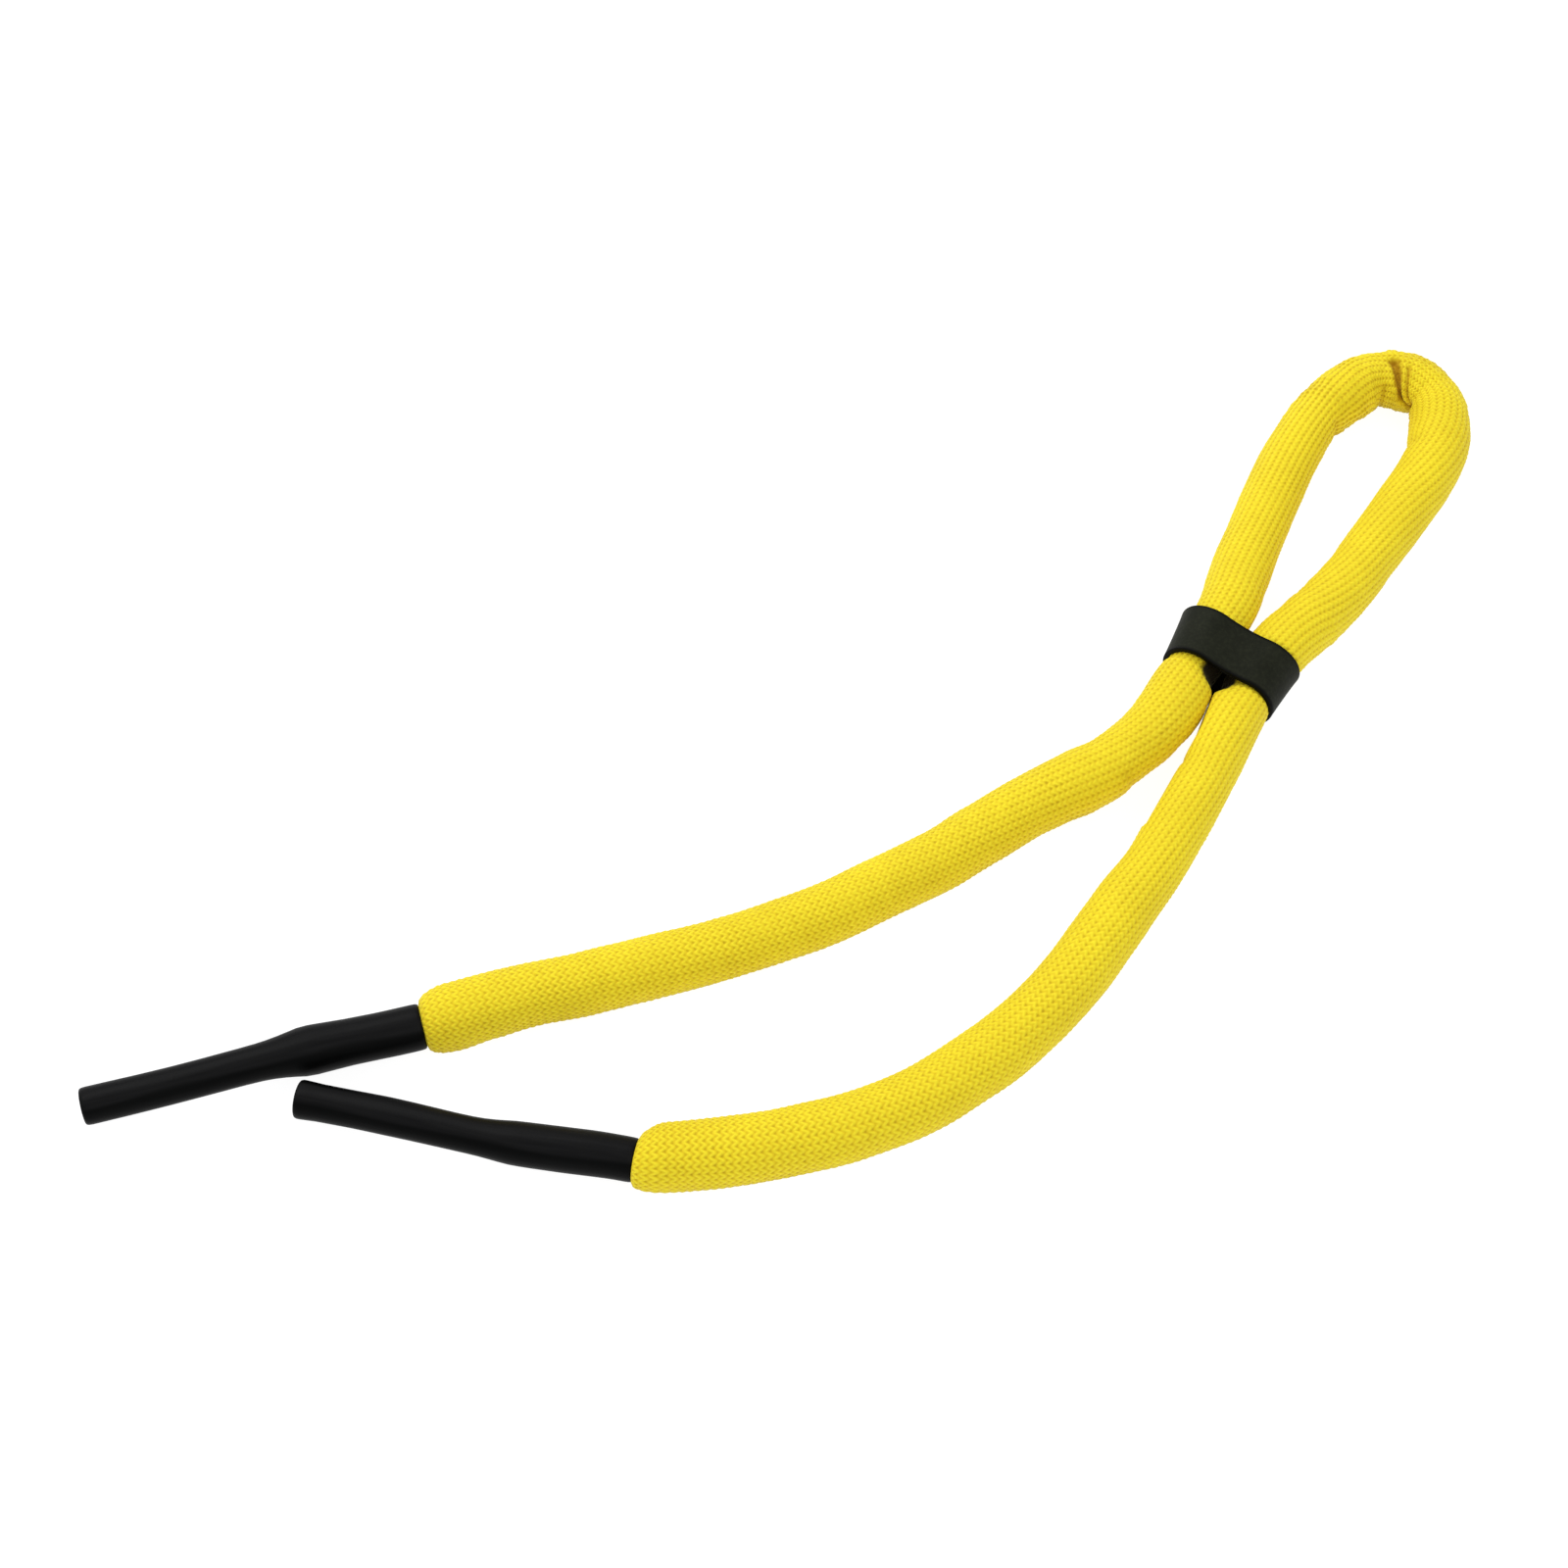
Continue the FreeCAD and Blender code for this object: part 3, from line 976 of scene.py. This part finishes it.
def band_wall():
    """Section of the band's wall: (out from the inner face, along) points round it, edges rounded."""
    half = KEEPER_LENGTH / 2
    edge = KEEPER_EDGE
    rows = []
    for x in np.linspace(-half + edge, half - edge, 19):
        rows.append((KEEPER_WALL, x))
    for angle in np.radians([20, 45, 70]):
        rows.append((KEEPER_WALL - edge + edge * math.cos(angle), half - edge + edge * math.sin(angle)))
    rows.append((KEEPER_WALL - edge, half))
    rows.append((0.2, half))
    rows.append((0.06, half - 0.06))
    for x in np.linspace(half - 0.2, -half + 0.2, 9):
        rows.append((0.0, x))
    rows.append((0.06, -half + 0.06))
    rows.append((0.2, -half))
    rows.append((KEEPER_WALL - edge, -half))
    for angle in np.radians([70, 45, 20]):
        rows.append((KEEPER_WALL - edge + edge * math.cos(angle), -half + edge - edge * math.sin(angle)))
    return np.array(rows)


def keeper_piece():
    """Waisted rubber band round both legs, a little wider where the loop opens."""
    rng = np.random.default_rng(SEED + 3)
    places, outward = band_outline(200)
    wall = band_wall()
    count = len(places)
    dents = smooth_noise(rng, len(wall), count, 5, 10) * 0.02
    flare = 0.10 * np.abs(wall[:, 1] / (KEEPER_LENGTH / 2)) ** 3
    out = wall[:, :1] + (dents + flare[:, None]) * (wall[:, :1] > 0.3)
    plane = places[None, :, :] + outward[None, :, :] * out[..., None]
    along = wall[:, 1][:, None, None]
    across = plane[..., :1] * (1 + KEEPER_TAPER * along / (KEEPER_LENGTH / 2))
    along = along + KEEPER_SHIFT - KEEPER_SKEW * across + KEEPER_BOW * across ** 2
    points = KEEPER_CENTRE + across * KEEPER_ACROSS + plane[..., 1:] * KEEPER_UP + along * KEEPER_AXIS
    faces = grid_faces(len(wall), count, flip=True)
    faces += [face[::-1] for face in joined_rings((len(wall) - 1) * count, 0, count)]
    piece = new_piece("keeper", points.reshape(-1, 3), faces)
    # Near black towards the band's two edges, and painted shade over its whole inner face
    rim = smooth((np.abs(wall[:, 1]) - KEEPER_LENGTH / 2 + 0.62) / 0.35)
    rim = np.maximum(rim, wall[:, 0] < KEEPER_WALL / 2)
    put_attribute(piece, "rim", np.repeat(rim, count))
    return piece


# ---- materials


class Shader:
    """A material's nodes, made with few words."""

    def __init__(self, name):
        self.material = bpy.data.materials.new(name)
        self.material.use_nodes = True
        self.nodes = self.material.node_tree.nodes
        self.links = self.material.node_tree.links
        self.bsdf = self.nodes["Principled BSDF"]

    def put(self, socket, value):
        """Links a socket to another node's output, or sets its value."""
        if isinstance(value, bpy.types.NodeSocket):
            self.links.new(value, socket)
        else:
            socket.default_value = value

    def math(self, operation, *values, clamp=False):
        node = self.nodes.new("ShaderNodeMath")
        node.operation = operation
        node.use_clamp = clamp
        for socket, value in zip(node.inputs, values):
            self.put(socket, value)
        return node.outputs[0]

    def attribute(self, name):
        node = self.nodes.new("ShaderNodeAttribute")
        node.attribute_type = "GEOMETRY"
        node.attribute_name = name
        return node.outputs["Fac"]

    def uv(self, name):
        node = self.nodes.new("ShaderNodeUVMap")
        node.uv_map = name
        split = self.nodes.new("ShaderNodeSeparateXYZ")
        self.links.new(node.outputs[0], split.inputs[0])
        return node.outputs[0], split.outputs[0], split.outputs[1]

    def object_place(self):
        return self.nodes.new("ShaderNodeTexCoord").outputs["Object"]

    def noise(self, place, scale, detail=3.0, roughness=0.55, stretch=None):
        if stretch is not None:
            mapping = self.nodes.new("ShaderNodeMapping")
            mapping.inputs["Scale"].default_value = stretch
            self.links.new(place, mapping.inputs["Vector"])
            place = mapping.outputs[0]
        node = self.nodes.new("ShaderNodeTexNoise")
        node.inputs["Scale"].default_value = scale
        node.inputs["Detail"].default_value = detail
        node.inputs["Roughness"].default_value = roughness
        self.links.new(place, node.inputs["Vector"])
        return node.outputs["Fac"]

    def ramp(self, value, *stops):
        """Colours or greys along a value, as (position, colour) stops."""
        node = self.nodes.new("ShaderNodeValToRGB")
        elements = node.color_ramp.elements
        while len(elements) < len(stops):
            elements.new(0.5)
        for element, (position, colour) in zip(elements, stops):
            element.position = position
            element.color = (*colour, 1.0) if len(colour) == 3 else colour
        self.links.new(value, node.inputs["Fac"])
        return node.outputs["Color"]

    def mix(self, factor, first, second, blend="MIX"):
        node = self.nodes.new("ShaderNodeMix")
        node.data_type = "RGBA"
        node.blend_type = blend
        self.put(node.inputs["Factor"], factor)
        for key, value in (("A", first), ("B", second)):
            socket = [s for s in node.inputs if s.name == key and s.type == "RGBA"][0]
            self.put(socket, (*value, 1.0) if isinstance(value, tuple) else value)
        return [s for s in node.outputs if s.type == "RGBA"][0]

    def bump(self, height, distance, strength=1.0):
        node = self.nodes.new("ShaderNodeBump")
        node.inputs["Strength"].default_value = strength
        node.inputs["Distance"].default_value = distance
        self.links.new(height, node.inputs["Height"])
        self.links.new(node.outputs[0], self.bsdf.inputs["Normal"])

    def finish(self, **values):
        for name, value in values.items():
            self.put(self.bsdf.inputs[name.replace("_", " ")], value)
        return self.material


YARN_DARK = (0.60, 0.405, 0.007)
YARN_MID = (0.82, 0.625, 0.014)
YARN_LIGHT = (0.93, 0.78, 0.024)
# Colour of the painted shade in the creases
YARN_CREASE_SHADE = (0.40, 0.19, 0.003)
# Colour multiplied in as painted shade low on the cord
YARN_LOW_SHADE = (0.59, 0.55, 0.46)
# Colour of the painted shade in the hollows between the legs
YARN_GAP_SHADE = (0.010, 0.006, 0.002)


def knit_height(shader, courses, wales, rib, stitch):
    """The same stitches as the mesh has, for colour and fine relief."""
    wave = shader.math("COSINE", shader.math("MULTIPLY", wales, TURN))
    bent = shader.math("MULTIPLY_ADD", wave, CHEVRON, shader.math("MULTIPLY", courses, TURN))
    chevrons = shader.math("COSINE", bent)
    strands = shader.math("COSINE", shader.math("MULTIPLY", wales, 2 * TURN))
    chevrons = shader.math("MULTIPLY", chevrons, 0.75)
    yarn = shader.math("SUBTRACT", chevrons, shader.math("MULTIPLY", strands, 0.25))
    ribs = shader.math("MULTIPLY", wave, rib)
    total = shader.math("MULTIPLY_ADD", yarn, stitch, ribs)
    return shader.math("DIVIDE", total, shader.math("ADD", rib, stitch))


def knit_material():
    """Yellow knit: painted shade in the pits, lighter yarn, fine filaments and a soft sheen."""
    shader = Shader("knit_yellow")
    place, courses, wales = shader.uv("stitch")
    height = knit_height(shader, courses, wales, shader.attribute("rib"), shader.attribute("stitching"))
    height = shader.math("MULTIPLY", height, shader.attribute("contrast"))
    level = shader.math("MULTIPLY_ADD", height, 0.5, 0.5, clamp=True)
    filaments = shader.noise(place, 3.0, detail=4.0, stretch=(2.2, 9.0, 1.0))
    cells = shader.noise(place, 0.9, detail=1.0)
    patches = shader.noise(shader.object_place(), 90.0, detail=2.0)
    uneven = shader.math("MULTIPLY_ADD", shader.math("SUBTRACT", filaments, 0.5), 0.30, level)
    uneven = shader.math("MULTIPLY_ADD", shader.math("SUBTRACT", cells, 0.5), 0.35, uneven, clamp=True)
    # Darker in the stitch pits as painted shade, with the yarn's own uneven tone from filaments and cells
    colour = shader.ramp(uneven, (0.0, YARN_DARK), (0.34, YARN_MID), (0.80, YARN_LIGHT))
    tint = shader.ramp(patches, (0.3, (0.94, 0.92, 0.90)), (0.7, (1.0, 1.0, 1.0)))
    colour = shader.mix(1.0, colour, tint, "MULTIPLY")
    # Painted shade low on the cord, darker towards the surface below
    low = shader.ramp(shader.attribute("low"), (0.0, (1.0, 1.0, 1.0)), (1.0, YARN_LOW_SHADE))
    colour = shader.mix(1.0, colour, low, "MULTIPLY")
    # Painted shade in the creases
    crease = shader.math("MULTIPLY", shader.attribute("crease"), 0.85)
    colour = shader.mix(crease, colour, YARN_CREASE_SHADE)
    # Painted shade, near black, in the hollows between the legs under the band's rim
    colour = shader.mix(shader.attribute("gap"), colour, YARN_GAP_SHADE)
    relief = shader.math("MULTIPLY_ADD", filaments, 0.35, level)
    shader.bump(relief, 0.00020, 0.5)
    rough = shader.math("MULTIPLY_ADD", filaments, 0.16, 0.62)
    shader.bsdf.inputs["Sheen Weight"].default_value = 0.08
    shader.bsdf.inputs["Sheen Roughness"].default_value = 0.5
    shader.bsdf.inputs["Sheen Tint"].default_value = (1.0, 0.93, 0.45, 1.0)
    shader.bsdf.inputs["Specular IOR Level"].default_value = 0.16
    return shader.finish(Base_Color=colour, Roughness=rough)


def tail_material():
    """The gathered cover inside a sleeve: creased yellow knit."""
    shader = Shader("knit_gathered")
    place = shader.object_place()
    threads = shader.noise(place, 1400.0, detail=3.0)
    pleats = shader.noise(place, 420.0, detail=2.0)
    level = shader.math("MULTIPLY_ADD", pleats, 0.6, shader.math("MULTIPLY", threads, 0.5), clamp=True)
    colour = shader.ramp(level, (0.25, YARN_DARK), (0.5, YARN_MID), (0.75, YARN_LIGHT))
    shader.bump(level, 0.0003)
    return shader.finish(Base_Color=colour, Roughness=0.72)


def thread_material():
    """Twisted polyester binding thread."""
    shader = Shader("binding_thread")
    place = shader.object_place()
    twist = shader.noise(place, 2600.0, detail=2.0)
    colour = shader.ramp(twist, (0.3, (0.52, 0.47, 0.36)), (0.7, (0.80, 0.76, 0.64)))
    shader.bump(twist, 0.00006)
    return shader.finish(Base_Color=colour, Roughness=0.55)


def foam_material():
    """Closed-cell foam: pale grey with fine cells."""
    shader = Shader("foam_core")
    place = shader.object_place()
    cell = shader.nodes.new("ShaderNodeTexVoronoi")
    cell.inputs["Scale"].default_value = 1800.0
    shader.links.new(place, cell.inputs["Vector"])
    patches = shader.noise(place, 60.0)
    colour = shader.ramp(patches, (0.3, (0.60, 0.60, 0.58)), (0.7, (0.76, 0.76, 0.73)))
    shader.bump(cell.outputs["Distance"], 0.0002)
    return shader.finish(Base_Color=colour, Roughness=0.85)


def sleeve_material():
    """Semi-gloss black rubber with faint lengthwise streaks and a painted reflection along its top."""
    shader = Shader("sleeve_rubber")
    place, _, _ = shader.uv("length")
    streaks = shader.noise(place, 1.0, detail=3.0, stretch=(0.07, 5.0, 1.0))
    grain = shader.noise(shader.object_place(), 2600.0, detail=2.0)
    smudges = shader.noise(shader.object_place(), 70.0, detail=3.0)
    colour = shader.ramp(smudges, (0.3, (0.0010, 0.0011, 0.0011)), (0.75, (0.0019, 0.0021, 0.0021)))
    # Painted reflection along the top, streaked lengthwise
    gloss = shader.ramp(streaks, (0.3, (0.0045, 0.0045, 0.0048)), (0.75, (0.0080, 0.0080, 0.0083)))
    colour = shader.mix(shader.attribute("crown_reflection"), colour, gloss)
    relief = shader.math("MULTIPLY_ADD", streaks, 0.8, shader.math("MULTIPLY", grain, 0.25))
    shader.bump(relief, 0.00006, 0.6)
    rough = shader.math("MULTIPLY_ADD", smudges, 0.14, shader.math("MULTIPLY_ADD", streaks, 0.10, 0.30))
    shader.bsdf.inputs["Specular IOR Level"].default_value = 0.05
    return shader.finish(Base_Color=colour, Roughness=rough)


def keeper_material():
    """Matte dark rubber with a fine mottled grain, near black towards its edges, with painted shade over
    its inner face.
    """
    shader = Shader("keeper_rubber")
    place = shader.object_place()
    grain = shader.noise(place, 1500.0, detail=4.0, roughness=0.6)
    mottle = shader.noise(place, 230.0, detail=3.0)
    rim = shader.attribute("rim")
    colour = shader.ramp(mottle, (0.3, (0.0105, 0.0120, 0.0068)), (0.7, (0.0160, 0.0178, 0.0105)))
    speckle = shader.ramp(grain, (0.45, (0.85, 0.85, 0.85)), (0.72, (1.30, 1.30, 1.25)))
    colour = shader.mix(1.0, colour, speckle, "MULTIPLY")
    # Near black at the edges, and painted shade on the inner face
    colour = shader.mix(rim, colour, (0.0012, 0.0013, 0.0010))
    shader.bump(grain, 0.00012, 0.55)
    rough = shader.math("MULTIPLY_ADD", mottle, 0.16, 0.50)
    shader.bsdf.inputs["Specular IOR Level"].default_value = 0.07
    return shader.finish(Base_Color=colour, Roughness=rough)


def floor_material():
    """Plain near-white studio sweep with a very faint grain."""
    shader = Shader("studio_floor")
    grain = shader.noise(shader.object_place(), 40.0)
    colour = shader.ramp(grain, (0.3, (0.215, 0.215, 0.220)), (0.7, (0.225, 0.225, 0.230)))
    shader.bsdf.inputs["Specular IOR Level"].default_value = 0.05
    shader.bsdf.inputs["Emission Color"].default_value = (1.0, 1.0, 1.0, 1.0)
    shader.bsdf.inputs["Emission Strength"].default_value = 0.92
    return shader.finish(Base_Color=colour, Roughness=0.9)


# ---- studio


def make_camera():
    elevation = math.radians(CAMERA_ELEVATION)
    back = Vector((0.0, -math.cos(elevation), math.sin(elevation)))
    data = bpy.data.cameras.new("camera")
    data.lens = CAMERA_LENS
    data.sensor_width = CAMERA_SENSOR
    data.clip_start = 0.01
    data.clip_end = 200.0
    camera = bpy.data.objects.new("camera", data)
    camera.location = Vector(metres(CAMERA_TARGET)) + back * (CAMERA_DISTANCE * MM)
    camera.rotation_mode = "QUATERNION"
    camera.rotation_quaternion = (-back).to_track_quat("-Z", "Y")
    bpy.context.scene.collection.objects.link(camera)
    bpy.context.scene.camera = camera


def add_area(name, place, size, power, aim=(0.0, 0.0, 0.0)):
    data = bpy.data.lights.new(name, "AREA")
    data.shape = "RECTANGLE"
    data.size = size[0]
    data.size_y = size[1]
    data.energy = power
    lamp = bpy.data.objects.new(name, data)
    lamp.location = place
    lamp.rotation_mode = "QUATERNION"
    lamp.rotation_quaternion = (Vector(aim) - Vector(place)).to_track_quat("-Z", "Y")
    bpy.context.scene.collection.objects.link(lamp)


def make_studio():
    scene = bpy.context.scene
    world = bpy.data.worlds.new("studio")
    scene.world = world
    world.use_nodes = True
    background = world.node_tree.nodes["Background"]
    background.inputs["Color"].default_value = (1.0, 1.0, 1.0, 1.0)
    background.inputs["Strength"].default_value = 0.62
    add_area("key", (-0.55, 0.65, 1.15), (1.3, 0.9), 12.0)
    add_area("fill", (0.5, -0.8, 1.3), (1.4, 1.0), 5.0)
    floor = bpy.data.meshes.new("floor")
    reach = 60.0
    low = -0.00003
    corners = [(-reach, -reach, low), (reach, -reach, low), (reach, reach, low), (-reach, reach, low)]
    floor.from_pydata(corners, [], [(0, 1, 2, 3)])
    stage = bpy.data.objects.new("floor", floor)
    floor.materials.append(floor_material())
    scene.collection.objects.link(stage)
    scene.view_settings.view_transform = "Standard"
    scene.view_settings.look = "None"


def wear(piece, material):
    """Gives a piece its one material."""
    piece.data.materials.clear()
    piece.data.materials.append(material)


# ---- assembly


def cover_pieces(cover, cuts):
    """The cover's stretches: two legs, the loop and two gathered domes."""
    dome_a, seam_a, seam_b, dome_b, last = cuts
    spans = {
        "knit_leg_a": (dome_a, seam_a),
        "knit_loop": (seam_a, seam_b),
        "knit_leg_b": (seam_b, dome_b),
        "knit_dome_a": (0, dome_a, tucked("a")),
        "knit_dome_b": (dome_b, last, tucked("b")),
    }
    return {name: knit_piece(cover, name, *span) for name, span in spans.items()}


def core_pieces(line):
    """The foam rod's stretches."""
    spans = {
        "foam_a": (FOAM_END, SEAM_A),
        "foam_loop": (SEAM_A + FOAM_GAP, SEAM_B - FOAM_GAP),
        "foam_b": (SEAM_B, line.length - FOAM_END),
    }
    return {name: foam_piece(line, name, *span) for name, span in spans.items()}


def dress(pieces, material):
    for piece in pieces.values():
        wear(piece, material)


def place_loop(cover_piece, core):
    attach(cover_piece, "loop")
    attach(core, "loop")
    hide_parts("knit_cover_loop")
    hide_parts("foam_core_loop")


def place_leg(side, cover_piece, core):
    """A leg's cover and foam, fixed where they are, with the model's leg and bend parts hidden."""
    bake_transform(cover_piece)
    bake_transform(core)
    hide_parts("knit_cover_leg_" + side, "knit_cover_bend_" + side)
    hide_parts("foam_core_leg_" + side, "foam_core_bend_" + side)


def place_dome(side, dome):
    """A dome, fixed where it is, with the model's dome part hidden."""
    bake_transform(dome)
    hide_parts("knit_cover_dome_" + side)


def place_rigid(piece, material, body, node):
    """A piece that only rides on its body."""
    wear(piece, material)
    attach(piece, body)
    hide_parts(node)


def main():
    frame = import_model()
    make_camera()
    make_studio()
    line = Line(route_points())
    cover = Cover(line)
    ends = (DOME_A_END, SEAM_A, SEAM_B, line.length - DOME_B_LENGTH)
    dome_a, seam_a, seam_b, dome_b = [cover.index(end) for end in ends]
    pieces = cover_pieces(cover, (dome_a, seam_a, seam_b, dome_b, len(cover.where) - 1))
    cores = core_pieces(line)
    dress(pieces, knit_material())
    dress(cores, foam_material())

    place_loop(pieces["knit_loop"], cores["foam_loop"])
    rubber = sleeve_material()
    gathered = tail_material()
    thread = thread_material()
    dome_starts = {"a": DOME_A_END - DOME_LAP, "b": line.length - DOME_B_LENGTH + DOME_LAP}
    for side, dome_start in dome_starts.items():
        place_leg(side, pieces["knit_leg_" + side], cores["foam_" + side])
        place_dome(side, pieces["knit_dome_" + side])
        place_rigid(sleeve_piece(side), rubber, "sleeve_" + side, "temple_sleeve_" + side)
        wear(frame["nodes"]["knit_cover_tail_" + side], gathered)
        wear(frame["nodes"]["binding_thread_" + side], thread)
    place_rigid(keeper_piece(), keeper_material(), "keeper", "keeper_band")

    print(f"whole line {line.length:.1f} mm")


main()
